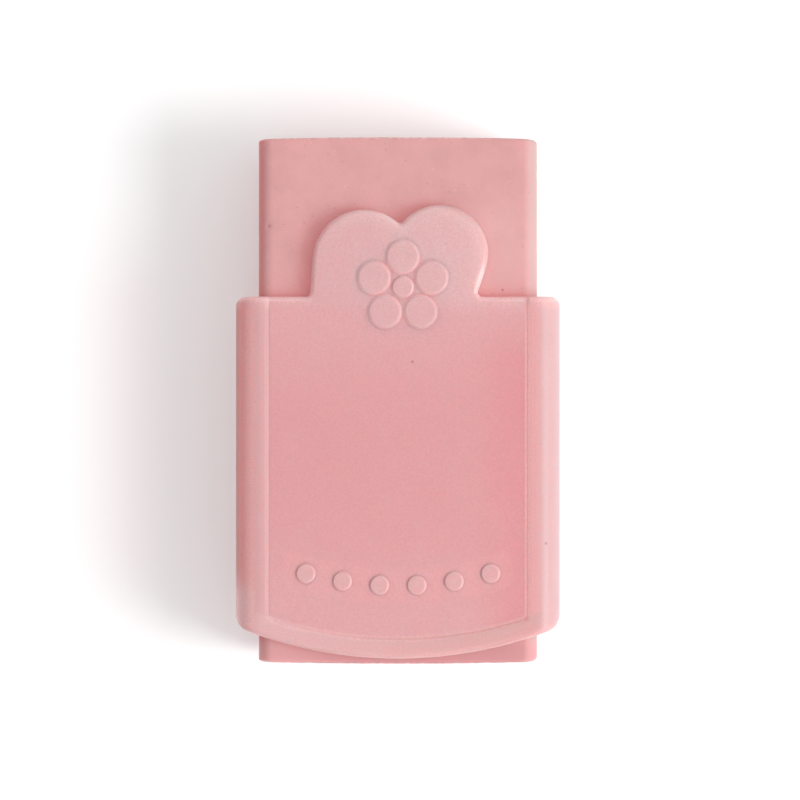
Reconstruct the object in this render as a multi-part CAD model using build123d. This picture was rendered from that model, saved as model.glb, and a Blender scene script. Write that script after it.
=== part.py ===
from build123d import *
from math import atan2, cos, degrees, hypot, radians, sin, sqrt
import os

# A school eraser in a moulded sleeve. A rectangular block of soft vinyl runs through a milky sleeve
# that is open at both ends. The sleeve ends below in a bowed hem, and a two-lobed thumb tab stands
# up from its top rim, over the block's face. The block slides through the sleeve as it wears down.
#
# Millimetres, +Z up. The eraser lies on the sleeve's back, so Z runs through its thickness, Y along
# its length towards the tab, and X across it. The origin is on the surface that it lies on, under
# the middle of the block.

# ---- Block ----
block_width = 24.0
block_length = 45.3
block_thickness = 11.0
block_edge_radius = 1.2        # the four long edges, rounded by the extruding die
block_end_crown = 0.15         # how far each cut end bows out at its middle
block_end_round = 0.45         # the worn edge round each cut end

# ---- Fit of the block in the sleeve ----
side_gap = 0.12                # between the block and each side wall
face_gap = 0.15                # between the block's face and the front wall
block_below_hem = 0.55         # how far the block stands out past the hem's lowest point

# ---- Sleeve tube ----
side_wall = 1.8
back_wall = 1.6
front_wall = 1.3               # at the window, without the frame round it
sleeve_length = 31.0           # along the middle, from the hem's lowest point to the top rim
sleeve_corner_radius = 2.1
hem_radius = 36.9              # bow of the lower edge, seen from above
outer_round = 0.45             # outside edges of the rim, hem and tab
rim_corner_radius = 0.9        # the two outermost corners at the rim, seen from above
hem_corner_radius = 1.7        # the same at the hem
mouth_chamfer = 0.15           # lead-in on the inside edges of the two mouths

# ---- Window: the lowered field inside the frame, open towards the tab ----
frame_rise = 0.2
frame_slope = 45.0             # degrees that the step leans away from upright
frame_flat_width = 0.8         # flat strip between the window and the rounded outside corner
frame_hem_width = 1.7
window_corner_radius = 0.45    # the two lower corners, seen from above
frame_lip_round = 0.5          # upper edge of the step, larger than outer_round that crosses it
frame_foot_round = 0.15        # lower edge of the step

# ---- Thumb tab: each lobe's centre is given across the sleeve and above the rim ----
left_lobe_across = -2.93
left_lobe_above = 3.05
left_lobe_radius = 4.4
left_flank_lean = 4.0          # degrees that this flank spreads towards its foot
right_lobe_across = 3.57
right_lobe_above = 3.68
right_lobe_radius = 4.17
right_flank_lean = -19.0       # negative, because this flank draws in towards its foot
tab_valley_round = 0.4         # where the two lobes meet
tab_foot_round = 0.4           # where the tab rises from the rim

# ---- Raised ornament: a flower on the tab and a row of beads near the hem ----
relief_rise = 0.15
relief_bevel = 0.08            # upper edge of every raised disc
bloom_across = 0.4
bloom_above = 0.8              # centre of the flower, above the rim
petal_count = 5
petal_radius = 1.3
petal_ring_radius = 2.6        # from the flower's centre to each petal's
bloom_heart_radius = 0.85
bead_count = 6
bead_radius = 0.75
bead_pitch = 3.2
bead_row_above_hem = 6.25      # the row is bowed like the hem

# ---- Worked out from the sizes above ----
cavity_width = block_width + 2 * side_gap
cavity_top = back_wall + block_thickness + face_gap
cavity_corner_radius = block_edge_radius + side_gap
sleeve_width = cavity_width + 2 * side_wall
window_level = cavity_top + front_wall
sleeve_thickness = window_level + frame_rise
window_half_width = sleeve_width / 2 - sleeve_corner_radius - frame_flat_width
hem_low = block_below_hem - block_length / 2
hem_centre = hem_low + hem_radius
rim = hem_low + sleeve_length
rim_plane = Plane((0, rim, 0), z_dir=(0, 1, 0))
near = 0.001                   # closer than this counts as touching
proud = 0.01                   # how far a corner's round passes the two faces that it joins
overshoot = 1.0                # how far a cutting solid passes the faces that it opens


def bar(width, thickness, edge_radius, low, high):
    """A bar along Y from low to high, standing on Z = 0, with its long edges rounded."""
    with BuildSketch(Plane.XZ) as section:
        with Locations((0, thickness / 2)):
            RectangleRounded(width, thickness, edge_radius)
    return Pos(0, low, 0) * extrude(section.sketch, amount=high - low, dir=(0, 1, 0))


def edges_in(part, plane):
    """The edges of a part that lie whole in a plane."""
    return part.edges().filter_by(lambda e: all(plane.contains(e @ t, near) for t in (0, 0.4, 1)))


# ---- Block ----

def make_block():
    """One extruded bar. Both ends are cut with a slight bow, and their edges are worn."""
    half_width = block_width / 2
    half_length = block_length / 2
    shoulder = half_length - block_end_crown
    with BuildSketch() as plan:
        with BuildLine():
            ThreePointArc((-half_width, shoulder), (0, half_length), (half_width, shoulder))
            Line((half_width, shoulder), (half_width, -shoulder))
            ThreePointArc((half_width, -shoulder), (0, -half_length), (-half_width, -shoulder))
            Line((-half_width, -shoulder), (-half_width, shoulder))
        make_face()
    block = bar(block_width, block_thickness, block_edge_radius, -half_length, half_length)
    block &= extrude(plan.sketch, amount=block_thickness)
    ends = block.faces().sort_by(Axis.Y)[0].edges() + block.faces().sort_by(Axis.Y)[-1].edges()
    return Pos(0, 0, back_wall) * fillet(ends, block_end_round)


# ---- Sleeve ----

def bowed_field(half_width, above_hem, top):
    """The outline between two sides, from a line bowed like the hem and above it, up to top."""
    radius = hem_radius - above_hem
    corner = hem_centre - sqrt(radius**2 - half_width**2)
    low_left = (-half_width, corner)
    low_right = (half_width, corner)
    with BuildSketch() as field:
        with BuildLine():
            ThreePointArc(low_left, (0, hem_centre - radius), low_right)
            Polyline(low_right, (half_width, top), (-half_width, top), low_left)
        make_face()
    return field.sketch


def tube():
    """The plain sleeve: hollow, rounded outside, square at the rim and bowed at the hem."""
    outside = bar(sleeve_width, sleeve_thickness, sleeve_corner_radius, hem_low, rim)
    outside &= extrude(bowed_field(sleeve_width / 2, 0, rim), amount=sleeve_thickness)
    low = hem_low - overshoot
    high = rim + overshoot
    cavity = bar(cavity_width, cavity_top - back_wall, cavity_corner_radius, low, high)
    return outside - Pos(0, 0, back_wall) * cavity


def step_edges(part, level):
    """The edges at one level round the window: not the rim's, nor the sleeve's outside ones."""
    reach = window_half_width + frame_flat_width / 2
    bow = hem_radius - frame_hem_width / 2

    def round_window(edge):
        middle = edge @ 0.5
        inside = abs(middle.X) < reach and hypot(middle.X, middle.Y - hem_centre) < bow
        return inside and middle.Y < rim - near

    return edges_in(part, Plane.XY.offset(level)).filter_by(round_window)


def with_window(sleeve):
    """Lowers the field inside the frame. The step round it is sloped, with a soft lip and foot."""
    field = bowed_field(window_half_width, frame_hem_width, rim + overshoot)
    field = fillet(field.vertices().sort_by(Axis.Y)[:2], window_corner_radius)
    sleeve -= Pos(0, 0, window_level) * extrude(field, amount=2 * frame_rise, taper=-frame_slope)
    sleeve = fillet(step_edges(sleeve, sleeve_thickness), frame_lip_round)
    return fillet(step_edges(sleeve, window_level), frame_foot_round)


def flank(centre, radius, lean, side):
    """Where a flank leaves its lobe, and where it would reach the rim, on side -1 or +1."""
    leave = (centre[0] + side * radius * cos(radians(lean)), centre[1] + radius * sin(radians(lean)))
    foot = leave[0] + side * (leave[1] - rim) * sin(radians(lean)) / cos(radians(lean))
    return leave, (foot, rim)


def tab_outline():
    """Two lobes on one foot, which reaches down into the sleeve's front wall."""
    left = (left_lobe_across, rim + left_lobe_above)
    right = (right_lobe_across, rim + right_lobe_above)
    left_leave, left_foot = flank(left, left_lobe_radius, left_flank_lean, -1)
    right_leave, right_foot = flank(right, right_lobe_radius, right_flank_lean, 1)
    root = rim - front_wall
    with BuildSketch() as outline:
        with Locations(left):
            Circle(left_lobe_radius)
        with Locations(right):
            Circle(right_lobe_radius)
        with BuildLine():
            Polyline(left, left_leave, left_foot, (left_foot[0], root))
            Polyline((left_foot[0], root), (right_foot[0], root), right_foot, right_leave, right, left)
        make_face()
        between = outline.vertices().filter_by(lambda v: left[0] < v.X < right[0])
        fillet(between.sort_by(Axis.Y)[-1], tab_valley_round)
    return outline.sketch


def wall_crossings(edges):
    """Those edges at the tab's foot that cross the front wall from its inside to its outside."""
    return edges.filter_by(Axis.Z).filter_by_position(Axis.Z, cavity_top, window_level)


def with_tab(sleeve):
    """Raises the thumb tab from the front wall, and rounds the two corners at its foot."""
    sleeve += Pos(0, 0, cavity_top) * extrude(tab_outline(), amount=front_wall)
    return fillet(wall_crossings(edges_in(sleeve, rim_plane)), tab_foot_round)


def of_cavity(edge):
    """Whether an edge of the rim belongs to the inside of the sleeve."""
    middle = edge @ 0.5
    across = abs(middle.X) < cavity_width / 2 + near
    return across and back_wall - near < middle.Z < cavity_top + near


def of_tab(edge):
    return (edge @ 0.5).Y > rim + near


def with_soft_rim(sleeve):
    """Softens rim and tab together: one closed edge outside, and one closed edge inside."""
    rim_edges = edges_in(sleeve, rim_plane)
    outside = rim_edges - rim_edges.filter_by(of_cavity) - wall_crossings(rim_edges)
    tab_face_edges = edges_in(sleeve, Plane.XY.offset(window_level)).filter_by(of_tab)
    sleeve = fillet(outside + tab_face_edges, outer_round)
    inside = edges_in(sleeve, rim_plane).filter_by(of_cavity)
    tab_back_edges = edges_in(sleeve, Plane.XY.offset(cavity_top)).filter_by(of_tab)
    return chamfer(inside + tab_back_edges, mouth_chamfer)


def with_soft_hem(sleeve):
    """Softens the hem outside and inside."""
    hem = sleeve.faces().sort_by(Axis.Y)[0]
    sleeve = fillet(hem.outer_wire().edges(), outer_round)
    hem = sleeve.faces().sort_by(Axis.Y)[0]
    return chamfer(hem.inner_wires().edges(), mouth_chamfer)


def corner_offcut(centre, radius, angle):
    """What a round corner leaves off: from due +X round to this angle, outside the round."""
    reach = 3 * radius
    end = (centre[0] + reach * cos(radians(angle)), centre[1] + reach * sin(radians(angle)))
    far = (centre[0] + reach, end[1])
    with BuildSketch() as offcut:
        with BuildLine():
            Polyline(centre, (far[0], centre[1]), far, end, centre)
        make_face()
        with Locations(centre):
            Circle(radius, mode=Mode.SUBTRACT)
    return extrude(offcut.sketch, amount=sleeve_thickness)


def with_plan_corners(sleeve):
    """Rounds the four outermost corners as seen from above, two at the rim and two at the hem."""
    side = sleeve_width / 2 + proud
    at_rim = (side - rim_corner_radius, rim + proud - rim_corner_radius)
    across = side - hem_corner_radius
    along = sqrt((hem_radius + proud - hem_corner_radius) ** 2 - across**2)
    hem_angle = -degrees(atan2(along, across))
    right = [
        corner_offcut(at_rim, rim_corner_radius, 90.0),
        corner_offcut((across, hem_centre - along), hem_corner_radius, hem_angle),
    ]
    return sleeve - right - [mirror(offcut, Plane.YZ) for offcut in right]


def raised_disc(radius):
    """A low disc with a bevelled upper edge. It starts inside the wall, so that it joins it."""
    root = front_wall / 2
    disc = Cylinder(radius, root + relief_rise, align=(Align.CENTER, Align.CENTER, Align.MIN))
    return Pos(0, 0, -root) * chamfer(disc.edges().sort_by(Axis.Z)[-1], relief_bevel)


def ornament():
    """The flower on the tab, and the row of beads that is bowed like the hem."""
    flower = Pos(bloom_across, rim + bloom_above, window_level)
    discs = [flower * raised_disc(bloom_heart_radius)]
    for place in PolarLocations(petal_ring_radius, petal_count, start_angle=90):
        discs.append(flower * place * raised_disc(petal_radius))
    row_radius = hem_radius - bead_row_above_hem
    for index in range(bead_count):
        angle = bead_pitch / row_radius * (index - (bead_count - 1) / 2)
        across = row_radius * sin(angle)
        along = hem_centre - row_radius * cos(angle)
        discs.append(Pos(across, along, window_level) * raised_disc(bead_radius))
    return discs


def make_sleeve():
    """One moulding: the tube with its window, thumb tab, soft edges and raised ornament."""
    sleeve = with_tab(with_window(tube()))
    sleeve = with_plan_corners(with_soft_hem(with_soft_rim(sleeve)))
    return sleeve + ornament()


os.makedirs("parts", exist_ok=True)
export_step(make_block(), "parts/eraser_block.step")
export_step(make_sleeve(), "parts/sleeve.step")
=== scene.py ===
# %% [markdown]
# # A school eraser in a milky sleeve
# A block of soft pink vinyl runs through a moulded sleeve of milky plastic. The sleeve has a window
# that is a shade lower than the frame round it, a bowed hem, and a thumb tab of two lobes. The
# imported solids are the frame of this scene: they say how large each part is and which body it moves
# with. Everything below is in metres, in the same axes: X across, Y along towards the tab, Z up.
# %% Load the frame
import math

import bpy
import numpy as np
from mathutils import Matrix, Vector


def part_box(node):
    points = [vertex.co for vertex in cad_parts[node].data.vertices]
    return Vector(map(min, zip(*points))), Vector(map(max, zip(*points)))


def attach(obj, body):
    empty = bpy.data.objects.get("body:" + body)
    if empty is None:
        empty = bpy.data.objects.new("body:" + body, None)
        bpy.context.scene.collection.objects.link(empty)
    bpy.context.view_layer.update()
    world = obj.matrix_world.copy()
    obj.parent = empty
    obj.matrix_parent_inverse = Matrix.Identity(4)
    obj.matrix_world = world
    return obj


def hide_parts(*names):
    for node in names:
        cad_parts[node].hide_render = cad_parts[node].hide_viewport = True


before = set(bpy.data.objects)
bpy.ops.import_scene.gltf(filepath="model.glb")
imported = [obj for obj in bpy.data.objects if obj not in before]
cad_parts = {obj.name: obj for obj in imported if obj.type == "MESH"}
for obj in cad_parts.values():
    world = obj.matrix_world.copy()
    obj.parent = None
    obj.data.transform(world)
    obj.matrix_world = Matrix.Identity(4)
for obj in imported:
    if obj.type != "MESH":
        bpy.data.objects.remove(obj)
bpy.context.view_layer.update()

MM = 0.001
block_low, block_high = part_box("eraser_block")
sleeve_low, sleeve_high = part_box("sleeve")
print("nodes", sorted(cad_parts))

# %% [markdown]
# ## Where the sleeve's features lie
# A box gives only the outermost corners. The rim, the window and the two lobes lie inside it, so
# their sizes are repeated here from the design and are placed from the box's corners. The paint and
# the raised ornament both need them.
# %% Feature sizes
sleeve_length = 31.0 * MM
hem_radius = 36.9 * MM
hem_band = 1.7 * MM
sleeve_corner = 2.1 * MM
frame_flat = 0.8 * MM
frame_rise = 0.2 * MM
bead_row_above_hem = 6.25 * MM

rim = sleeve_low.y + sleeve_length
hem_centre = sleeve_low.y + hem_radius
window_level = sleeve_high.z - frame_rise
window_half = sleeve_high.x - sleeve_corner - frame_flat
left_lobe = (-2.93 * MM, rim + 3.05 * MM), 4.4 * MM
right_lobe = (3.57 * MM, rim + 3.68 * MM), 4.17 * MM
lobes = [left_lobe, right_lobe]
flower_centre = (0.4 * MM, rim + 0.8 * MM, window_level)
print("rim at", round(rim / MM, 2), "mm, window level", round(window_level / MM, 2), "mm")

# %% [markdown]
# ## The camera
# The eraser lies on its back and is seen from straight above, with its tab away from the viewer. A
# long lens at a real distance of 40 cm keeps a slight perspective: the faces higher up look a
# little larger. The lens follows from how wide the view is at the block's face.
# %% Camera
view_width = 68.72 * MM
camera_height = 400 * MM
off_centre = (0.18 * MM, 0.04 * MM)
sensor_width = 36
nearest_seen = 10 * MM

camera_data = bpy.data.cameras.new("camera")
camera_data.sensor_width = sensor_width
camera_data.lens = sensor_width * (camera_height - block_high.z) / view_width
camera_data.clip_start = nearest_seen
camera = bpy.data.objects.new("camera", camera_data)
camera.location = (*off_centre, camera_height)
bpy.context.scene.collection.objects.link(camera)
bpy.context.scene.camera = camera
bpy.context.scene.view_settings.view_transform = "Standard"
print("lens", round(camera_data.lens, 1), "mm, at", camera_height / MM, "mm")

# %% [markdown]
# ## Floor
# A small pale thing shows best on plain white board, so the floor is a large matt sheet of it.
# %% Floor
floor_side = 4
board_white = (0.96, 0.96, 0.96, 1)
board_roughness = 0.8

bpy.ops.mesh.primitive_plane_add(size=floor_side)
floor = bpy.context.object
floor.name = "floor"
board = bpy.data.materials.new("white_board")
board.use_nodes = True
board_shader = board.node_tree.nodes["Principled BSDF"]
board_shader.inputs["Base Color"].default_value = board_white
board_shader.inputs["Roughness"].default_value = board_roughness
floor.data.materials.append(board)
print("floor", floor_side, "m wide")

# %% [markdown]
# ## Light
# One soft lamp stands at the side. It is a disc about as wide as half its distance, so that shadows
# have a soft rim. A milky wall does not stop a lamp fully: what comes through is dim and pink, and
# it makes the shadows of the tab and the rim light and warm. So the lamp's light is split in two.
# The larger part is stopped by everything. The smaller, pink part is stopped only by the block and
# the floor, which is set by light linking. In the open, the two add up to white.
# %% Lamp
lamp_direction = Vector((0.716, -0.20, 0.669))
lamp_distance = 0.6
lamp_width = 0.3
lamp_power = 2.2
let_through = (0.72, 0.40, 0.43)


def soft_lamp(name, colour, direction, power):
    """A round lamp that faces the object from this direction."""
    data = bpy.data.lights.new(name, "AREA")
    data.shape = "DISK"
    data.size = lamp_width
    data.energy = power
    data.color = colour
    lamp = bpy.data.objects.new(name, data)
    lamp.location = direction.normalized() * lamp_distance
    lamp.rotation_euler = direction.to_track_quat("Z", "Y").to_euler()
    bpy.context.scene.collection.objects.link(lamp)
    return lamp


soft_lamp("lamp", [1 - share for share in let_through], lamp_direction, lamp_power)
lamp_through_milk = soft_lamp("lamp_through_milk", let_through, lamp_direction, lamp_power)
stoppers = bpy.data.collections.new("stop_all_light")
stoppers.objects.link(floor)
lamp_through_milk.light_linking.blocker_collection = stoppers
print("lamp", lamp_power, "W at", lamp_distance, "m, let through", let_through)

# %% [markdown]
# A white board in a studio gets light of its own, so that it stays white behind the object and the
# object's shadow on it stays faint. One more lamp lights the floor and nothing else.
# %% Floor lamp
floor_lamp_direction = Vector((-0.4, 0.2, 0.9))
floor_lamp_power = 0.9
white = (1, 1, 1)

floor_lamp = soft_lamp("floor_lamp", white, floor_lamp_direction, floor_lamp_power)
only_floor = bpy.data.collections.new("only_floor")
only_floor.objects.link(floor)
floor_lamp.light_linking.receiver_collection = only_floor
floor_lamp.light_linking.blocker_collection = only_floor

# %% [markdown]
# White walls give the rest of the light. The wall on the lamp's side is the brightest, and the room
# gets dimmer away from it, so the object's faces on that side stay paler than those on the other.
# %% Walls
wall_light = 0.64
wall_difference = 0.48
darkest, brightest = wall_light * (1 - wall_difference), wall_light * (1 + wall_difference)

world = bpy.data.worlds.new("white_walls")
world.use_nodes = True
nodes, links = world.node_tree.nodes, world.node_tree.links
towards = nodes.new("ShaderNodeSeparateXYZ")
strength = nodes.new("ShaderNodeMapRange")
links.new(nodes.new("ShaderNodeTexCoord").outputs["Generated"], towards.inputs[0])
links.new(towards.outputs["X"], strength.inputs["Value"])
ends = {"From Min": -1.0, "From Max": 1.0, "To Min": darkest, "To Max": brightest}
for name, value in ends.items():
    strength.inputs[name].default_value = value
links.new(strength.outputs["Result"], nodes["Background"].inputs["Strength"])
nodes["Background"].inputs["Color"].default_value = (*white, 1)
bpy.context.scene.world = world
print("walls from", round(darkest, 2), "to", round(brightest, 2))

# %% [markdown]
# ## Building node trees
# Shader trees and geometry trees are built in the same way: a node is added, and each of its inputs
# gets either a fixed value or the output of an earlier node. One small class does both, so that the
# trees below read like formulas.
# %% Wiring


def linear(red, green, blue):
    """A colour given as 0 to 255 per channel on a screen, as the linear colour that nodes take."""
    parts = [c / 255 for c in (red, green, blue)]
    return (*[p / 12.92 if p <= 0.04045 else ((p + 0.055) / 1.055) ** 2.4 for p in parts], 1.0)


class Wiring:
    """Adds nodes to one tree. Values are numbers, vectors, or outputs of earlier nodes."""

    def __init__(self, tree):
        self.tree = tree

    def put(self, socket, value):
        if isinstance(value, bpy.types.NodeSocket):
            self.tree.links.new(value, socket)
        else:
            socket.default_value = value

    def add(self, kind, inputs=None, **settings):
        node = self.tree.nodes.new(kind)
        for name, value in settings.items():
            setattr(node, name, value)
        for name, value in (inputs or {}).items():
            self.put(node.inputs[name], value)
        return node

    def math(self, operation, *values):
        node = self.add("ShaderNodeMath", operation=operation)
        for socket, value in zip(node.inputs, values):
            self.put(socket, value)
        return node.outputs[0]

    def product(self, *values):
        """All values multiplied."""
        result, *others = values
        for value in others:
            result = self.math("MULTIPLY", result, value)
        return result

    def vector(self, operation, *values, out="Vector"):
        node = self.add("ShaderNodeVectorMath", operation=operation)
        for socket, value in zip(node.inputs, values):
            self.put(socket, value)
        return node.outputs[out]

    def rise(self, value, low, high):
        """0 up to low, 1 from high, and smooth between. It falls where low is above high."""
        node = self.add("ShaderNodeMapRange", interpolation_type="SMOOTHSTEP")
        falls = low > high
        places = {"Value": value, "From Min": min(low, high), "From Max": max(low, high)}
        for name, given in {**places, "To Min": float(falls), "To Max": float(not falls)}.items():
            self.put(node.inputs[name], given)
        return node.outputs["Result"]

    def rise_mm(self, value, low, high):
        """The same, with both ends in millimetres."""
        return self.rise(value, low * MM, high * MM)

    def blend(self, share, under, over):
        node = self.add("ShaderNodeMix", data_type="RGBA")
        sockets = (node.inputs[0], node.inputs[6], node.inputs[7])
        for socket, value in zip(sockets, (share, under, over)):
            self.put(socket, value)
        return node.outputs[2]

    def paint(self, colour, layers):
        """Lays layers over a colour: where each lies, its greatest share, and its colour."""
        for place, strength, over in layers:
            share = place if strength == 1 else self.product(place, strength)
            colour = self.blend(share, colour, over)
        return colour

    def group(self, tree, inputs):
        node = self.add("ShaderNodeGroup", node_tree=tree)
        for name, value in inputs.items():
            self.put(node.inputs[name], value)
        return node


def new_tree(name, kind, inputs, outputs):
    """A node group with named sockets, and the wiring that fills it."""
    tree = bpy.data.node_groups.new(name, kind)
    for direction, sockets in (("INPUT", inputs), ("OUTPUT", outputs)):
        for label, socket_type in sockets.items():
            kind_of_socket = "NodeSocket" + socket_type
            tree.interface.new_socket(name=label, in_out=direction, socket_type=kind_of_socket)
    wiring = Wiring(tree)
    return wiring, wiring.add("NodeGroupInput").outputs, wiring.add("NodeGroupOutput").inputs


# %% [markdown]
# ## Three effects that both finishes share
# Both materials are moulded, so both have a fine grain. Both carry specks: pores and pale flecks in
# the vinyl, dust on the sleeve. Both have a few single marks at known places. Each effect is one
# shader node group, placed in each material with its own values.
# %% Shared effect: grain
wire, given, result = new_tree(
    "moulded_grain",
    "ShaderNodeTree",
    {"Place": "Vector", "Size": "Float"},
    {"Height": "Float", "Speckle": "Float", "Tone": "Float"},
)
density = wire.math("DIVIDE", 1.0, given["Size"])
size_and_detail = {"Height": (1.0, 3.0), "Speckle": (0.6, 1.0), "Tone": (14.0, 4.0)}
for name, (size, detail) in size_and_detail.items():
    scale = wire.math("DIVIDE", density, size)
    inputs = {"Vector": given["Place"], "Scale": scale, "Detail": detail}
    wire.put(result[name], wire.add("ShaderNodeTexNoise", inputs).outputs["Fac"])
moulded_grain = wire.tree
print("group", moulded_grain.name)

# %% Shared effect: specks
wire, given, result = new_tree(
    "specks",
    "ShaderNodeTree",
    {"Place": "Vector", "Spacing": "Float", "Radius": "Float", "Share": "Float"},
    {"Mask": "Float"},
)
density = wire.math("DIVIDE", 1.0, given["Spacing"])
cells = wire.add("ShaderNodeTexVoronoi", {"Vector": given["Place"], "Scale": density})
distance = wire.math("MULTIPLY", cells.outputs["Distance"], given["Spacing"])
near = wire.math("SUBTRACT", 1.0, wire.math("DIVIDE", distance, given["Radius"]))
dot = wire.rise(near, 0.0, 0.6)
draw = wire.add("ShaderNodeSeparateColor", {"Color": cells.outputs["Color"]})
chosen = wire.math("LESS_THAN", draw.outputs["Red"], given["Share"])
wire.put(result["Mask"], wire.math("MULTIPLY", dot, chosen))
specks = wire.tree
print("group", specks.name)

# %% Shared effect: one mark
wire, given, result = new_tree(
    "mark",
    "ShaderNodeTree",
    {"Place": "Vector", "Centre": "Vector", "Radius": "Float"},
    {"Mask": "Float"},
)
distance = wire.vector("DISTANCE", given["Place"], given["Centre"], out="Value")
near = wire.math("SUBTRACT", 1.0, wire.math("DIVIDE", distance, given["Radius"]))
wire.put(result["Mask"], wire.rise(near, 0.0, 0.7))
mark = wire.tree
print("group", mark.name)

# %% Marks and specks, with their sizes in millimetres


def marked(place, centre, radius):
    """Where one mark lies."""
    inputs = {"Place": place, "Centre": [c * MM for c in centre], "Radius": radius * MM}
    return wire.group(mark, inputs).outputs["Mask"]


def scattered(place, spacing, radius, share):
    """Where specks lie."""
    inputs = {"Place": place, "Spacing": spacing * MM, "Radius": radius * MM, "Share": share}
    return wire.group(specks, inputs).outputs["Mask"]


print("helpers for", specks.name, "and", mark.name)

# %% [markdown]
# ## Vinyl
# Eraser vinyl is a soft plastic full of fine chalk. It is matt, and light sinks a little way into
# it, so its edges glow rather than cut. Its surface has pores and pale flecks, and the edges of the
# cut ends pick up grey dust from the pencil case.
# %% Vinyl material
vinyl_tones = linear(222, 166, 165), linear(229, 173, 172)
fine_speckle = linear(204, 144, 144)
pore = linear(176, 110, 112)
fleck = linear(240, 190, 186)
shaded_edge, lit_edge = linear(225, 142, 140), linear(194, 164, 162)
# painted shade below the sleeve's hem, lighter at the left and darker at the right
painted_hem_shade = linear(226, 168, 169), linear(213, 155, 157)
# painted light thrown back from the tab onto the block beside it
painted_bounce_light = linear(233, 192, 191)
# painted highlight along the rounded rim of the cut end on the tab's side
cut_rim = linear(234, 192, 190)
dark_mark = linear(150, 80, 84)
pencil_dust = linear(160, 130, 130)

vinyl = bpy.data.materials.new("vinyl")
vinyl.use_nodes = True
wire = Wiring(vinyl.node_tree)
place = wire.add("ShaderNodeTexCoord").outputs["Object"]
axes = wire.add("ShaderNodeSeparateXYZ", {"Vector": place}).outputs
print("material", vinyl.name, "begun")

# %% Vinyl: where its tones lie
grain = wire.group(moulded_grain, {"Place": place, "Size": 0.16 * MM}).outputs
tone = wire.rise(grain["Tone"], 0.3, 0.7)
speckle = wire.rise(grain["Speckle"], 0.3, 0.7)
pores = scattered(place, spacing=0.62, radius=0.10, share=0.35)
flecks = scattered(place, spacing=0.95, radius=0.13, share=0.3)

upper = wire.rise(axes["Z"], block_high.z - 2.4 * MM, block_high.z - 1.3 * MM)
on_left_edge = wire.product(wire.rise_mm(axes["X"], -11.2, -11.8), upper)
on_right_edge = wire.product(wire.rise_mm(axes["X"], 10.6, 12.0), upper)
# Painted shade: below the sleeve's hem the block is painted darker, the more so towards the right.
to_right_end = wire.rise_mm(axes["X"], -11, -3)
near_hem = wire.rise_mm(axes["Y"], -20.2, -21.4)
# Painted highlight: a pale line along the rounded rim of the cut end on the tab's side.
on_cut_rim = wire.rise(axes["Y"], block_high.y - 0.22 * MM, block_high.y - 0.05 * MM)
# Painted light: a pale patch on the block's face beside the tab's right flank, where the tab throws
# light back.
bounce_light_patch = marked(place, (7.6, 13.2, 12.5), 5.5)
dark_marks = [marked(place, (8.99, 9.49, 12.6), 0.17), marked(place, (-11.1, 14.98, 12.56), 0.2)]
print("vinyl masks", len(wire.tree.nodes), "nodes")

# %% Vinyl: dust on the outline of each cut end
along = wire.math("ABSOLUTE", axes["Y"])
end = wire.rise(along, block_high.y - 0.30 * MM, block_high.y - 0.05 * MM)
from_side = wire.math("SUBTRACT", block_high.x, wire.math("ABSOLUTE", axes["X"]))
half_height, middle_height = (block_high.z - block_low.z) / 2, (block_high.z + block_low.z) / 2
up_or_down = wire.math("ABSOLUTE", wire.math("SUBTRACT", axes["Z"], middle_height))
from_face = wire.math("SUBTRACT", half_height, up_or_down)
on_outline = wire.rise_mm(wire.math("MINIMUM", from_side, from_face), 0.6, 0.1)
patchy = wire.group(moulded_grain, {"Place": place, "Size": 0.5 * MM}).outputs["Height"]
dust = wire.product(end, on_outline, wire.rise(patchy, 0.42, 0.62))
print("dust within 0.6 mm of the outline")

# %% Vinyl: colour and surface
colour = wire.paint(wire.blend(tone, *vinyl_tones), [
    (speckle, 0.26, fine_speckle),
    (pores, 0.35, pore),
    (flecks, 0.45, fleck),
    (on_left_edge, 1, shaded_edge),
    (on_right_edge, 1, lit_edge),
    (near_hem, 1, wire.blend(to_right_end, *painted_hem_shade)),
    (bounce_light_patch, 0.28, painted_bounce_light),
    (on_cut_rim, 1, cut_rim),
    *((spot, 0.5, dark_mark) for spot in dark_marks),
    (dust, 0.45, pencil_dust),
])
height = wire.math("SUBTRACT", grain["Height"], wire.product(pores, 1.2))
bump = wire.add("ShaderNodeBump", {"Strength": 0.35, "Distance": 0.02 * MM, "Height": height})

shader = vinyl.node_tree.nodes["Principled BSDF"]
wire.put(shader.inputs["Base Color"], colour)
wire.put(shader.inputs["Normal"], bump.outputs["Normal"])
shader.inputs["Roughness"].default_value = 0.6
shader.inputs["Subsurface Weight"].default_value = 0.5
shader.inputs["Subsurface Radius"].default_value = (1.2, 0.5, 0.45)
shader.inputs["Subsurface Scale"].default_value = 1.0 * MM
print("vinyl has", len(vinyl.node_tree.nodes), "nodes")

# %% [markdown]
# ## Milky plastic
# The sleeve is moulded from a cloudy, tinted plastic. The pink block shows through it where the wall
# is thin and lies close to the block: in the window, most of all half way down it. Where the wall is
# thicker or ends in the open, it looks paler: on the frame, along the rim and the hem, and on the
# tab. The paler ends of the window and the strip along the rim are also painted light, which comes in
# where the wall ends in the open. Real see-through plastic could be rendered as such, but it is slow
# and does not survive an export, so the depth of the pink is painted by place instead, and soft light
# scatter does the rest.
# %% Milky plastic: distances and fades
wire, given, result = new_tree(
    "milky_tint",
    "ShaderNodeTree",
    {"Place": "Vector"},
    {"Colour": "Color", "Height": "Float"},
)
place = given["Place"]
axes = wire.add("ShaderNodeSeparateXYZ", {"Vector": place}).outputs
flat_place = wire.vector("MULTIPLY", place, (1, 1, 0))


def flat_distance(x, y):
    """How far each point lies from this place, seen from above."""
    return wire.vector("DISTANCE", flat_place, (x, y, 0), out="Value")


def apart(value, other):
    """How far a value is from another, to either side."""
    return wire.math("ABSOLUTE", wire.math("SUBTRACT", value, other))


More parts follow.
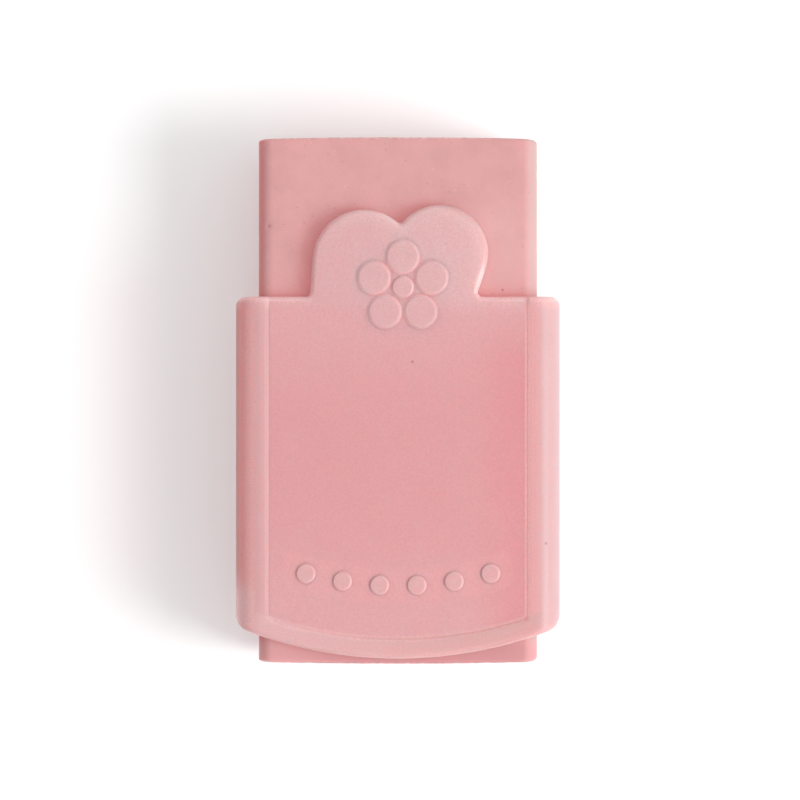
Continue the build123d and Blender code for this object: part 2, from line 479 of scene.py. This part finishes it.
aside = wire.math("ABSOLUTE", axes["X"])
above_hem = wire.math("SUBTRACT", hem_radius, flat_distance(0, hem_centre))
below_rim = wire.math("SUBTRACT", rim, axes["Y"])
# Painted light: the window's tone grows paler towards the rim and the hem, where light comes in at
# the open ends.
upper_fade = wire.rise_mm(below_rim, 11.0, 0.0)
lower_fade = wire.rise_mm(above_hem, 13.0, 1.0)
fade = wire.math("MAXIMUM", upper_fade, lower_fade)
low_on_wall = wire.rise(axes["Z"], sleeve_high.z - 1.3 * MM, sleeve_high.z - 3.0 * MM)
print("window fades towards the rim and the hem")

# %% Milky plastic: the frame's two sides
on_side_frame = wire.rise(aside, window_half - 0.1 * MM, window_half + 0.25 * MM)
off_hem = wire.rise_mm(above_hem, 0.8, 3.4)
# Painted light and shade on the outer sides: paler on the left shoulder and in the left corner by the
# hem, darker and redder out to the left edge, and paler and less red on the lit right side.
on_left_shoulder = wire.rise_mm(axes["X"], -12.0, -12.6)
on_left_side = wire.product(wire.rise_mm(axes["X"], -12.8, -13.7), off_hem)
on_left_edge = wire.product(wire.rise_mm(axes["X"], -13.5, -13.85), off_hem)
in_left_corner = wire.product(on_left_shoulder, wire.rise_mm(above_hem, 5.0, 2.0))
on_right_side = wire.rise_mm(axes["X"], 11.5, 12.7)
on_right_edge = wire.rise_mm(axes["X"], 13.2, 13.85)

beside_window = wire.rise(above_hem, hem_band - 0.1 * MM, hem_band + 0.2 * MM)
# Painted shade dims the lit slope of the window's left step, and painted light lifts the shaded slope
# of its right step.
from_left_step = apart(axes["X"], -window_half - 0.11 * MM)
from_right_step = apart(axes["X"], window_half + 0.08 * MM)
on_left_step = wire.product(wire.rise_mm(from_left_step, 0.26, 0.08), beside_window)
on_right_step = wire.product(wire.rise_mm(from_right_step, 0.30, 0.14), beside_window)
on_right_slope = wire.product(wire.rise_mm(from_right_step, 0.24, 0.12), beside_window)
print("masks so far", len(wire.tree.nodes), "nodes")

# %% Milky plastic: hem and rim
on_hem_band = wire.rise(above_hem, hem_band + 0.3 * MM, hem_band - 0.05 * MM)
# Painted shade darkens the hem's lit lower edge, and painted light lifts the shaded step from the
# window to the hem band.
on_hem_edge = wire.rise_mm(above_hem, 0.6, 0.1)
from_hem_step = apart(above_hem, hem_band - 0.02 * MM)
within_window = wire.math("LESS_THAN", aside, window_half)
on_hem_step = wire.product(wire.rise_mm(from_hem_step, 0.34, 0.10), within_window)

# Painted light: a paler strip below the rim, and a paler rounded rim edge beside the tab, where light
# comes in at the open rim.
rim_strip = wire.rise_mm(below_rim, 1.3, 0.5)
beside_tab = wire.rise_mm(apart(axes["X"], -0.25 * MM), 6.9, 7.4)
off_tab = wire.math("MAXIMUM", beside_tab, low_on_wall)
on_rim_edge = wire.product(wire.rise_mm(below_rim, 0.6, 0.2), off_tab)
print("masks so far", len(wire.tree.nodes), "nodes")

# %% Milky plastic: tab, relief and the painted glow on the lamp's side
inside = []
for centre, radius in lobes:
    across = wire.math("SUBTRACT", axes["X"], centre[0])
    above = wire.math("MAXIMUM", wire.math("SUBTRACT", axes["Y"], centre[1]), 0.0)
    squares = wire.math("ADD", wire.math("POWER", across, 2.0), wire.math("POWER", above, 2.0))
    inside.append(wire.math("SUBTRACT", radius, wire.math("SQRT", squares)))
depth_in_tab = wire.math("MAXIMUM", *inside)
on_tab = wire.rise_mm(below_rim, 2.0, -1.0)
above_rim = wire.rise_mm(below_rim, -0.4, -1.6)
off_left_flank = wire.product(wire.rise_mm(axes["X"], -6.8, -4.5), above_rim)
# Painted highlight: a pale band along the tab's rounded edge, left out on its left flank and
# strongest on its right flank.
tab_edge = wire.product(wire.rise_mm(depth_in_tab, 1.7, 0.3), off_left_flank)
on_right_flank = wire.product(wire.rise_mm(axes["X"], 4.0, 6.5), tab_edge)
# Painted shade dims the lamp's highlight on the rim of the tab's right side.
on_tab_rim = wire.product(wire.rise_mm(depth_in_tab, 0.55, 0.2), above_rim)
on_lit_rim = wire.product(on_tab_rim, wire.rise_mm(axes["X"], 2.5, 5.5))
# Painted light and shade: the tab, the frame and the hem band change tone from left to right, towards
# the lamp, and the tab is painted paler on the lamp's side.
to_right = wire.rise_mm(axes["X"], -12, 12)
# Painted light: a deeper, redder glow in the window near the right frame, from lamp light that comes
# through the wall.
warm = wire.product(wire.rise_mm(axes["X"], 5.5, 11.0), wire.rise_mm(below_rim, 1.0, 6.0))
print("masks so far", len(wire.tree.nodes), "nodes")

# %% Milky plastic: the raised pads and the ground round them
on_frame = wire.math("MAXIMUM", on_hem_band, on_side_frame)
off_frame = wire.math("SUBTRACT", 1.0, on_frame)
# The pads are painted paler, as thicker milky plastic; this paint also reaches down their slopes as
# painted light that evens out their shaded sides.
on_top = wire.rise(axes["Z"], window_level - 0.02 * MM, window_level + 0.12 * MM)
raised = wire.product(on_top, off_frame)
on_ground = wire.rise(axes["Z"], window_level + 0.14 * MM, window_level + 0.02 * MM)
# Painted light: the ground round the petals and the beads is painted paler and redder, to lift the
# shade that rings the pads.
from_flower = flat_distance(*flower_centre[:2])
round_petals = wire.product(wire.rise_mm(from_flower, 3.6, 2.4), on_ground)
from_row = apart(above_hem, bead_row_above_hem)
round_beads = wire.product(wire.rise_mm(from_row, 2.0, 0.9), wire.rise_mm(aside, 10.2, 9.0))
print("all masks", len(wire.tree.nodes), "nodes")

# %% Milky plastic: colour
window_tones = linear(228, 168, 172), linear(230, 178, 180)
# The tab, frame and hem pairs run from left to right, and their right-hand tones are painted light
# and shade from the lamp's side.
tab_tones = linear(224, 174, 177), linear(235, 200, 201)
frame_tones = linear(225, 178, 179), linear(234, 177, 178)
hem_tones = linear(229, 189, 190), linear(221, 178, 176)
relief_pale = linear(231, 188, 188)
edge_pale = linear(229, 206, 203)

layers = [
    (warm, 1, linear(230, 159, 163)),
    (on_tab, 1, wire.blend(to_right, *tab_tones)),
    (on_side_frame, 1, wire.blend(to_right, *frame_tones)),
    (on_hem_band, 1, wire.blend(to_right, *hem_tones)),
    (on_left_shoulder, 1, linear(244, 186, 186)),
    (on_left_side, 1, linear(235, 151, 150)),
    (on_left_edge, 1, linear(200, 130, 130)),
    (in_left_corner, 1, linear(243, 200, 200)),
    (on_right_side, 1, linear(205, 169, 170)),
    (on_right_edge, 1, linear(190, 168, 172)),
    (on_left_step, 1, linear(206, 150, 151)),
    (on_right_step, 1, linear(244, 184, 185)),
    (on_right_slope, 1, linear(255, 208, 208)),
    (on_hem_step, 0.4, linear(250, 206, 204)),
    (on_hem_edge, 0.8, linear(219, 175, 175)),
    (low_on_wall, 1, linear(222, 166, 168)),
    (rim_strip, 0.5, relief_pale),
    (on_rim_edge, 1, linear(245, 198, 198)),
    (round_petals, 0.8, linear(255, 184, 183)),
    (round_beads, 0.35, linear(248, 180, 180)),
    (raised, 0.7, relief_pale),
    (tab_edge, 0.4, edge_pale),
    (on_right_flank, 0.4, edge_pale),
    (on_lit_rim, 0.9, linear(206, 169, 170)),
]
colour = wire.paint(wire.blend(fade, *window_tones), layers)
print(len(layers), "layers of tint")

# %% Milky plastic: cloud, dust and marks
fine_speckle = linear(205, 144, 147)
pale_dust = linear(240, 196, 194)
dark_mark = linear(135, 70, 74)

grain = wire.group(moulded_grain, {"Place": place, "Size": 0.22 * MM}).outputs
cloudy = wire.rise(grain["Tone"], 0.35, 0.75)
speckle = wire.rise(grain["Speckle"], 0.3, 0.7)
dust = scattered(place, spacing=2.3, radius=0.10, share=0.25)
dark_marks = [marked(place, (1.25, 3.31, 14.05), 0.18), marked(place, (12.68, -12.24, 14.07), 0.18)]
colour = wire.paint(colour, [
    (cloudy, 0.12, relief_pale),
    (speckle, 0.26, fine_speckle),
    (dust, 0.5, pale_dust),
    *((spot, 0.45, dark_mark) for spot in dark_marks),
])
wire.put(result["Colour"], colour)
wire.put(result["Height"], grain["Height"])
milky_tint = wire.tree
print("group", milky_tint.name, "has", len(milky_tint.nodes), "nodes")

# %% [markdown]
# Light sinks deep into this plastic and its red goes furthest, so thin edges glow. The low pads of
# the ornament are small bodies of their own, in which light that sinks as deep gets lost and leaves
# them grey. They have the same tint, and their light stays closer to the surface. What such light
# would even out is taken from the shading: the normals of their slopes are drawn towards upright.
# %% Milky plastic: surface


def milky_finish(name, reach, upright):
    """The milky tint on a satin surface, with light that spreads this far below it."""
    material = bpy.data.materials.new(name)
    material.use_nodes = True
    wire = Wiring(material.node_tree)
    shader = material.node_tree.nodes["Principled BSDF"]
    place = wire.add("ShaderNodeTexCoord").outputs["Object"]
    tint = wire.group(milky_tint, {"Place": place}).outputs
    true_normal = wire.add("ShaderNodeNewGeometry").outputs["Normal"]
    normal = wire.vector("ADD", true_normal, (0, 0, upright))
    grain = {"Strength": 0.25, "Distance": 0.01 * MM, "Height": tint["Height"]}
    bump = wire.add("ShaderNodeBump", {**grain, "Normal": wire.vector("NORMALIZE", normal)})
    wire.put(shader.inputs["Base Color"], tint["Colour"])
    wire.put(shader.inputs["Normal"], bump.outputs["Normal"])
    shader.inputs["Roughness"].default_value = 0.42
    shader.inputs["Subsurface Weight"].default_value = 0.9
    shader.inputs["Subsurface Radius"].default_value = (2.0, 0.9, 0.8)
    shader.inputs["Subsurface Scale"].default_value = reach
    return material


milky = milky_finish("milky_plastic", 1.0 * MM, 0.0)
milky_pads = milky_finish("milky_pads", 0.15 * MM, 1.6)
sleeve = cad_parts["sleeve"]
sleeve.data.materials.clear()
sleeve.data.materials.append(milky)
print(milky.name, "and", milky_pads.name, "have", len(milky.node_tree.nodes), "nodes each")

# %% [markdown]
# ## The block
# A new eraser is a bar, pushed through a die that rounds its four long edges, and cut to length.
# Its cut ends are nearly sharp, and bow out a little where the blade dragged the soft vinyl. A
# closed skin of four-sided cells carries small unevenness best, so the bar is not cut from a cube.
# Its cross section is a grid that follows the rounded outline, and each end of the bar is closed by
# that grid. Its rows lie close together on the end that is used, where all of its small faults are
# seen.
# %% Block: cross section
edge_round = 1.2 * MM
block_half = (block_high - block_low) / 2
block_middle = (block_high + block_low) / 2


def side_line(half, radius, steps, arc_steps=5):
    """Places along one side of the section, and how far each falls back from that side."""
    turn = np.linspace(math.pi / 4, 0, arc_steps + 1)
    corner = half - radius + radius * np.sin(turn)
    back = radius * (1 - np.cos(turn))
    flat = np.linspace(radius - half, half - radius, steps + 1)[1:-1]
    places = np.concatenate([-corner, flat, corner[::-1]])
    return places, np.concatenate([back, flat * 0, back[::-1]])


def section(inset, across_steps=132, up_steps=24):
    """The filled cross section, pulled in by inset on all sides, as a grid of X and Z."""
    wide, high = block_half.x - inset, block_half.z - inset
    radius = edge_round - inset
    across, sink = side_line(wide, radius, across_steps)
    upward, pinch = side_line(high, radius, up_steps)
    share_x = (across / across[-1])[:, None]
    share_z = (upward / upward[-1])[None, :]
    grid_x = across[:, None] + share_x * (wide - pinch[None, :] - across[-1])
    grid_z = upward[None, :] + share_z * (high - sink[:, None] - upward[-1])
    return grid_x, grid_z


grid_x, grid_z = section(0)
print("section grid", grid_x.shape)
print("half width and height", round(grid_x.max() / MM, 3), round(grid_z.max() / MM, 3), "mm")

# %% [markdown]
# Each row along the bar says how far it lies from the middle and how far its outline is pulled in,
# which rounds the edge of the cut. Seen from above, the corners are rounder than that edge, and
# those on the right are the more worn ones, so the rows near an end are narrowed a little as well.
# %% Block: rows along it
end_round = 0.28 * MM
left_corner, right_corner = 0.3 * MM, 0.52 * MM
end_crown = 0.15 * MM
used_end_rows, far_end_rows = 145, 60
corner_rows, round_rows = 6, 7
closest_rows = 0.05 * MM
bow_shape = 12


def half_rows(steps):
    """Distances from the middle out to one end, and the inset of each."""
    turn = np.linspace(0, math.pi / 2, round_rows)
    shoulder = block_half.y - end_round
    flat = np.linspace(0, shoulder, steps + 1)[:-1]
    corner = np.linspace(block_half.y - right_corner - end_round, shoulder, corner_rows)[:-1]
    flat = np.concatenate([flat[flat < corner[0] - closest_rows], corner])
    along = np.concatenate([flat, shoulder + end_round * np.sin(turn)])
    return along, np.concatenate([flat * 0, end_round * (1 - np.cos(turn))])


def row_points(along, inset):
    """One row's section, narrowed near the end and bowed like the cut."""
    x, z = section(inset)
    for side, radius in ((-1, left_corner), (1, right_corner)):
        beyond = np.clip(abs(along) - (block_half.y - radius), 0, radius)
        narrow = 1 - (radius - math.sqrt(radius**2 - beyond**2)) / block_half.x
        x = np.where(x * side > 0, x * narrow, x)
    bow = end_crown * (x / block_half.x) ** 2 * (abs(along) / block_half.y) ** bow_shape
    y = along - np.sign(along) * bow
    return np.stack([x, y, z], axis=-1) + np.array(block_middle)


used_end, used_insets = half_rows(used_end_rows)
far_end, far_insets = half_rows(far_end_rows)
rows = [row_points(-a, i) for a, i in zip(far_end[:0:-1], far_insets[:0:-1])]
rows += [row_points(a, i) for a, i in zip(used_end, used_insets)]
ends = rows[0][..., 1].min(), rows[-1][..., 1].max()
print(len(rows), "rows, from", round(ends[0] / MM, 2), "to", round(ends[1] / MM, 2), "mm")

# %% [markdown]
# The skin is made of the rows' outlines, joined in rings, and of the first and the last row's whole
# grids. The points on the outline are shared, so that the skin is closed.
# %% Block: skin
columns, levels = grid_x.shape
ring = [(i, levels - 1) for i in range(columns)]
ring += [(columns - 1, k) for k in range(levels - 2, -1, -1)]
ring += [(i, 0) for i in range(columns - 2, -1, -1)]
ring += [(0, k) for k in range(1, levels - 1)]
ring_x, ring_z = np.array(ring).T

points = np.concatenate([row[ring_x, ring_z] for row in rows])
around = len(ring)
faces = []
for r in range(len(rows) - 1):
    for c in range(around):
        a, b = r * around + c, r * around + (c + 1) % around
        faces.append((a, b, b + around, a + around))

ring_place = {cell: number for number, cell in enumerate(ring)}
for row, first, outward in ((rows[0], 0, -1), (rows[-1], (len(rows) - 1) * around, 1)):
    numbers = np.zeros((columns, levels), int)
    for i in range(columns):
        for k in range(levels):
            numbers[i, k] = first + ring_place[i, k] if (i, k) in ring_place else -1
    inner = np.argwhere(numbers < 0)
    numbers[inner[:, 0], inner[:, 1]] = len(points) + np.arange(len(inner))
    points = np.concatenate([points, row[inner[:, 0], inner[:, 1]]])
    for i in range(columns - 1):
        for k in range(levels - 1):
            near_side, far_side = numbers[i, k : k + 2], numbers[i + 1, k : k + 2]
            cell = [near_side[0], far_side[0], far_side[1], near_side[1]]
            faces.append(cell if outward < 0 else cell[::-1])

skin = bpy.data.meshes.new("rubber_block")
skin.from_pydata([tuple(p) for p in points], [], [tuple(int(n) for n in f) for f in faces])
skin.validate()
block = bpy.data.objects.new("rubber_block", skin)
bpy.context.scene.collection.objects.link(block)
print("block skin has", len(skin.vertices), "points and", len(skin.polygons), "faces")

# %% [markdown]
# ## Small unevenness of the vinyl
# Cut and handled vinyl is never flat: it has slow waves, scattered pits, edges that crumble where
# they rub on paper, and here one deeper nick on its left edge. All of them follow simple rules of
# place and chance, which is what Geometry Nodes are for. Every fault only takes vinyl away, so the
# block stays within its size and clear of the sleeve.
# %% Geometry Nodes: worn vinyl
pit_wall = 0.25 * MM
crumb_size = 0.9 * MM
worn_strip = (0.6 * MM, 0.1 * MM)

wire, given, result = new_tree(
    "worn_vinyl",
    "GeometryNodeTree",
    {
        "Geometry": "Geometry", "Wave Depth": "Float", "Wave Size": "Float",
        "Pits per Area": "Float", "Pit Radius": "Float", "Pit Depth": "Float",
        "Edge Wear": "Float", "End": "Float",
        "Nick Centre": "Vector", "Nick Radius": "Float", "Nick Depth": "Float",
        "Seed": "Int", "Material": "Material",
    },
    {"Geometry": "Geometry"},
)
position = wire.add("GeometryNodeInputPosition").outputs[0]
normal = wire.add("GeometryNodeInputNormal").outputs[0]


def noise_of(size, detail):
    scale = wire.math("DIVIDE", 1.0, size)
    inputs = {"Vector": position, "W": given["Seed"], "Scale": scale, "Detail": detail}
    return wire.add("ShaderNodeTexNoise", inputs, noise_dimensions="4D").outputs["Fac"]


waves = wire.product(noise_of(given["Wave Size"], 2.0), given["Wave Depth"])
scatter = {"Mesh": given["Geometry"], "Density": given["Pits per Area"], "Seed": given["Seed"]}
pit_points = wire.add("GeometryNodeDistributePointsOnFaces", scatter).outputs["Points"]
nearest = wire.add("GeometryNodeProximity", target_element="POINTS")
wire.put(nearest.inputs[0], pit_points)
into_pit = wire.math("SUBTRACT", given["Pit Radius"], nearest.outputs["Distance"])
pits = wire.product(wire.rise(into_pit, 0.0, pit_wall), given["Pit Depth"])
crumbling = wire.rise(noise_of(crumb_size, 3.0), 0.45, 0.75)
along = wire.math("ABSOLUTE", wire.add("ShaderNodeSeparateXYZ", {"Vector": position}).outputs["Y"])
at_end = wire.rise(wire.math("SUBTRACT", given["End"], along), *worn_strip)
wear = wire.product(crumbling, at_end, given["Edge Wear"])
from_nick = wire.vector("DISTANCE", position, given["Nick Centre"], out="Value")
in_nick = wire.rise(wire.math("DIVIDE", from_nick, given["Nick Radius"]), 1.0, 0.2)
nick = wire.product(in_nick, given["Nick Depth"])

lost = wire.math("ADD", wire.math("ADD", waves, pits), wire.math("ADD", wear, nick))
inward = wire.vector("SCALE", normal)
wire.put(inward.node.inputs["Scale"], wire.product(lost, -1.0))
moves = {"Geometry": given["Geometry"], "Offset": inward}
moved = wire.add("GeometryNodeSetPosition", moves).outputs[0]
smooth = wire.add("GeometryNodeSetShadeSmooth", {"Geometry": moved}).outputs[0]
single = wire.add("GeometryNodeRealizeInstances", {"Geometry": smooth}).outputs[0]
surface = {"Geometry": single, "Material": given["Material"]}
wire.put(result["Geometry"], wire.add("GeometryNodeSetMaterial", surface).outputs[0])
worn_vinyl = wire.tree
print("worn vinyl tree has", len(worn_vinyl.nodes), "nodes")

# %% Bake


def baked(piece, tree, values):
    """Runs a tree on a piece with these inputs, and keeps what comes out as its plain mesh."""
    modifier = piece.modifiers.new("shape", "NODES")
    modifier.node_group = tree
    for item in tree.interface.items_tree:
        if item.in_out == "INPUT" and item.name in values:
            modifier[item.identifier] = values[item.name]
    graph = bpy.context.evaluated_depsgraph_get()
    mesh = bpy.data.meshes.new_from_object(piece.evaluated_get(graph))
    piece.modifiers.remove(modifier)
    piece.data = mesh
    mesh.name = piece.name
    mesh.calc_loop_triangles()
    print(piece.name, "has", len(mesh.loop_triangles), "triangles")
    return piece


baked(block, worn_vinyl, {
    "Wave Depth": 0.025 * MM, "Wave Size": 5.0 * MM, "Pits per Area": 250000.0,
    "Pit Radius": 0.25 * MM, "Pit Depth": 0.025 * MM, "Edge Wear": 0.035 * MM,
    "End": block_high.y,
    "Nick Centre": (-11.1 * MM, 14.98 * MM, 12.6 * MM), "Nick Radius": 0.34 * MM,
    "Nick Depth": 0.10 * MM, "Seed": 7, "Material": vinyl,
})
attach(block, "block")
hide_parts("eraser_block")
stoppers.objects.link(block)

# %% [markdown]
# ## The raised ornament
# The mould has shallow hollows that leave low pads on the sleeve: five petals and a heart on the
# tab, and six beads in a row bowed like the hem. Every pad has the same form, flat on top with a
# gentle fall all round, so one pad is made and the tree sets copies of it in their places, at their
# sizes. The fall reaches a little past the solid's own sharper disc and hides it.
# %% One pad
pad_rings, pad_sides = 14, 56
skirt = -5.0
fall_from = 0.78


def pad_height(share):
    """Height of a pad's surface, 1 in the middle, at this share of its radius."""
    fall = np.clip((share - fall_from) / (1 - fall_from), 0, 1)
    return 1 - fall * fall * (3 - 2 * fall)


shares = np.concatenate([[0.4], np.linspace(fall_from, 1, pad_rings)])
angles = np.arange(pad_sides) * 2 * math.pi / pad_sides
points = [(0, 0, 1)]
for share, height in [(s, pad_height(s)) for s in shares] + [(1.0, skirt)]:
    points += [(share * math.cos(a), share * math.sin(a), height) for a in angles]
points.append((0, 0, skirt))
last = len(points) - 1
faces = [(0, 1 + n, 1 + (n + 1) % pad_sides) for n in range(pad_sides)]
for r in range(len(shares)):
    for n in range(pad_sides):
        a, b = 1 + r * pad_sides + n, 1 + r * pad_sides + (n + 1) % pad_sides
        faces.append((a, a + pad_sides, b + pad_sides, b))
outer = last - pad_sides
faces += [(last, outer + (n + 1) % pad_sides, outer + n) for n in range(pad_sides)]
pad = bpy.data.meshes.new("ornament")
pad.from_pydata(points, [], faces)
ornament = bpy.data.objects.new("ornament", pad)
bpy.context.scene.collection.objects.link(ornament)
print("one pad has", len(pad.polygons), "faces")

# %% Geometry Nodes: pads on a ring and on a bowed row
wire, given, result = new_tree(
    "raised_ornament",
    "GeometryNodeTree",
    {
        "Geometry": "Geometry", "Petals": "Int", "Petal Radius": "Float", "Ring Radius": "Float",
        "Heart Radius": "Float", "Flower Centre": "Vector", "Beads": "Int", "Bead Radius": "Float",
        "Bead Pitch": "Float", "Row Radius": "Float", "Row Centre": "Vector", "Rise": "Float",
        "Material": "Material",
    },
    {"Geometry": "Geometry"},
)
index = wire.add("GeometryNodeInputIndex").outputs[0]


def placed(count, position, radius):
    """Copies of the pad at these places."""
    dots = wire.add("GeometryNodePoints", {"Count": count, "Position": position}).outputs[0]
    sizes = {"X": radius, "Y": radius, "Z": given["Rise"]}
    size = wire.add("ShaderNodeCombineXYZ", sizes).outputs[0]
    inputs = {"Points": dots, "Instance": given["Geometry"], "Scale": size}
    return wire.add("GeometryNodeInstanceOnPoints", inputs).outputs[0]


def on_circle(angle, radius, centre):
    """The place on a circle at an angle from +Y, clockwise."""
    across = wire.product(radius, wire.math("SINE", angle))
    along = wire.product(radius, wire.math("COSINE", angle))
    spoke = wire.add("ShaderNodeCombineXYZ", {"X": across, "Y": along}).outputs[0]
    return wire.vector("ADD", centre, spoke)


petal_angle = wire.product(index, wire.math("DIVIDE", 2 * math.pi, given["Petals"]))
on_ring = on_circle(petal_angle, given["Ring Radius"], given["Flower Centre"])
petals = placed(given["Petals"], on_ring, given["Petal Radius"])
heart = placed(1, given["Flower Centre"], given["Heart Radius"])
middle = wire.math("DIVIDE", wire.math("SUBTRACT", given["Beads"], 1.0), 2.0)
bead_step = wire.math("DIVIDE", given["Bead Pitch"], given["Row Radius"])
bead_angle = wire.product(wire.math("SUBTRACT", index, middle), bead_step)
below = wire.product(given["Row Radius"], -1.0)
on_row = on_circle(bead_angle, below, given["Row Centre"])
beads = placed(given["Beads"], on_row, given["Bead Radius"])

joined = wire.add("GeometryNodeJoinGeometry")
for pads in (petals, heart, beads):
    wire.tree.links.new(pads, joined.inputs[0])
single = wire.add("GeometryNodeRealizeInstances", {"Geometry": joined.outputs[0]}).outputs[0]
smooth = wire.add("GeometryNodeSetShadeSmooth", {"Geometry": single}).outputs[0]
surface = {"Geometry": smooth, "Material": given["Material"]}
wire.put(result["Geometry"], wire.add("GeometryNodeSetMaterial", surface).outputs[0])
raised_ornament = wire.tree
print("ornament tree has", len(raised_ornament.nodes), "nodes")

# %% Ornament: bake and place
spread = 1.17
baked(ornament, raised_ornament, {
    "Petals": 5, "Petal Radius": 1.3 * MM * spread, "Ring Radius": 2.6 * MM,
    "Heart Radius": 0.85 * MM * spread, "Flower Centre": flower_centre,
    "Beads": 6, "Bead Radius": 0.75 * MM * spread, "Bead Pitch": 3.2 * MM,
    "Row Radius": hem_radius - bead_row_above_hem, "Row Centre": (0.0, hem_centre, window_level),
    "Rise": 0.165 * MM, "Material": milky_pads,
})
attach(ornament, "sleeve")
